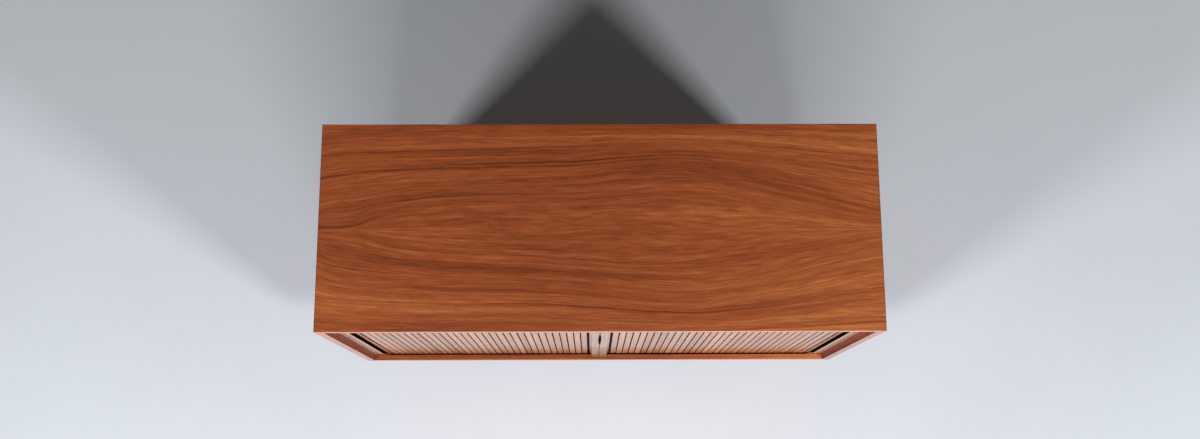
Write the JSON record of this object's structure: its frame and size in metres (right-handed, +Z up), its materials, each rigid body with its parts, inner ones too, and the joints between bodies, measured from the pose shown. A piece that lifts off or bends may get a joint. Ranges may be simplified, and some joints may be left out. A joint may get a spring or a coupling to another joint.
{
  "type": "tambour door cabinet",
  "caption": "Low rectangular storage cabinet with coved front stiles, slatted sliding tambour doors, a divided interior with shelves, and a four-legged base.",
  "frame": {"origin": "on the floor, under the middle of the case", "axes": "+X to the right along the width, -Y out of the front with the doors, +Z up"},
  "size_m": [1.2192, 0.4572, 0.8636],
  "materials": {
    "walnut_veneer": "satin",
    "solid_walnut": "satin",
    "tambour_walnut": "satin",
    "inner_ply": "matt lacquer",
    "steel": "zinc plated",
    "nylon": "moulded"
  },
  "bodies": {
    "case": {"case_top": "walnut_veneer", "case_bottom": "walnut_veneer", "case_left_side": "walnut_veneer", "case_right_side": "walnut_veneer", "centre_divider": "inner_ply", "false_back": "inner_ply", "back_panel": "inner_ply", "left_false_wall": "inner_ply", "left_bent_corner": "inner_ply", "left_shelf": "inner_ply", "left_pin_front_inner": "steel", "left_pin_back_inner": "steel", "left_pin_front_outer": "steel", "left_pin_back_outer": "steel", "left_cove_stile": "solid_walnut", "left_tambour_tail": "tambour_walnut", "right_false_wall": "inner_ply", "right_bent_corner": "inner_ply", "right_shelf": "inner_ply", "right_pin_front_inner": "steel", "right_pin_back_inner": "steel", "right_pin_front_outer": "steel", "right_pin_back_outer": "steel", "right_cove_stile": "solid_walnut", "right_tambour_tail": "tambour_walnut", "front_rail": "solid_walnut", "back_rail": "solid_walnut", "left_rail": "solid_walnut", "right_rail": "solid_walnut", "front_left_leg": "solid_walnut", "front_left_glide": "nylon", "front_left_block": "inner_ply", "front_left_base_screw": "steel", "back_left_leg": "solid_walnut", "back_left_glide": "nylon", "back_left_block": "inner_ply", "back_left_base_screw": "steel", "front_right_leg": "solid_walnut", "front_right_glide": "nylon", "front_right_block": "inner_ply", "front_right_base_screw": "steel", "back_right_leg": "solid_walnut", "back_right_glide": "nylon", "back_right_block": "inner_ply", "back_right_base_screw": "steel", "back_screw_bottom_left": "steel", "back_screw_bottom_middle": "steel", "back_screw_bottom_right": "steel", "back_screw_top_left": "steel", "back_screw_top_middle": "steel", "back_screw_top_right": "steel", "back_screw_side_left": "steel", "back_screw_side_right": "steel"},
    "left_door": {"left_lead_strip": "solid_walnut", "left_tambour": "tambour_walnut"},
    "right_door": {"right_lead_strip": "solid_walnut", "right_tambour": "tambour_walnut"}
  },
  "joints": [
    {"name": "left_door_slide", "type": "slide", "parent": "case", "child": "left_door", "axis": [-1, 0, 0], "range_m": [0, 0.513], "deforming": ["left_tambour"]},
    {"name": "right_door_slide", "type": "slide", "parent": "case", "child": "right_door", "axis": [1, 0, 0], "range_m": [0, 0.513], "deforming": ["right_tambour"]}
  ]
}
